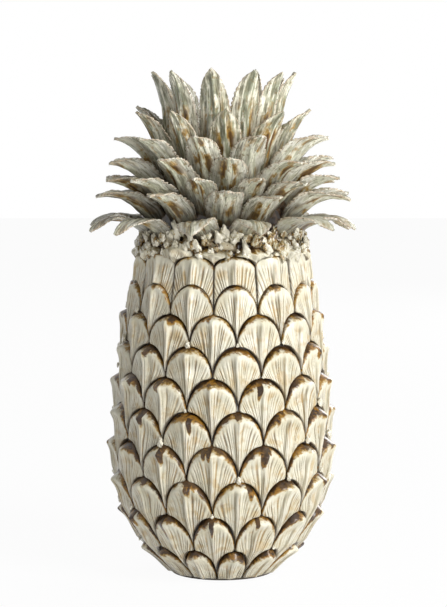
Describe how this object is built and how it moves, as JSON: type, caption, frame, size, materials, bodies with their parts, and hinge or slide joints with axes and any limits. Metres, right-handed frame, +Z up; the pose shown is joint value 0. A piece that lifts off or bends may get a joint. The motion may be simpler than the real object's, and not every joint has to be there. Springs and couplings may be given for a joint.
{
  "type": "pineapple figurine",
  "caption": "Hollow stoneware pineapple ornament: fluted fish-scale tiles in brick rows on a tapered body, under a crown of curled, keeled leaves; stands on a felt ring.",
  "frame": {"origin": "centre of the underside of the felt ring, on the surface that the ornament stands on", "axes": "+Z up along the body's axis, -Y towards the front, +X to the right seen from the front"},
  "size_m": [0.1845, 0.1834, 0.3461],
  "materials": {
    "ivory_glaze": "gloss transparent glaze over a cream slip, brown where it pools",
    "leaf_glaze": "gloss celadon glaze over cream, amber in the folds",
    "pooled_glaze": "gloss iron-brown glaze pooled thick in the joints",
    "bare_stoneware": "unglazed, wiped foot",
    "felt": "self-adhesive wool felt"
  },
  "bodies": {
    "root": {"scale_row_01": "ivory_glaze", "scale_row_02": "ivory_glaze", "scale_row_03": "ivory_glaze", "scale_row_04": "ivory_glaze", "scale_row_05": "ivory_glaze", "scale_row_06": "ivory_glaze", "scale_row_07": "ivory_glaze", "scale_row_08": "ivory_glaze", "scale_row_09": "ivory_glaze", "stave_row": "ivory_glaze", "bract_ring": "leaf_glaze", "leaf_ring_1": "leaf_glaze", "leaf_ring_2": "leaf_glaze", "leaf_ring_3": "leaf_glaze", "leaf_ring_4": "leaf_glaze", "leaf_ring_5": "leaf_glaze", "leaf_ring_6": "leaf_glaze", "leaf_ring_7": "leaf_glaze", "body_shell": "pooled_glaze", "crown_core": "pooled_glaze", "base_disc": "bare_stoneware", "felt_ring": "felt"}
  },
  "joints": []
}
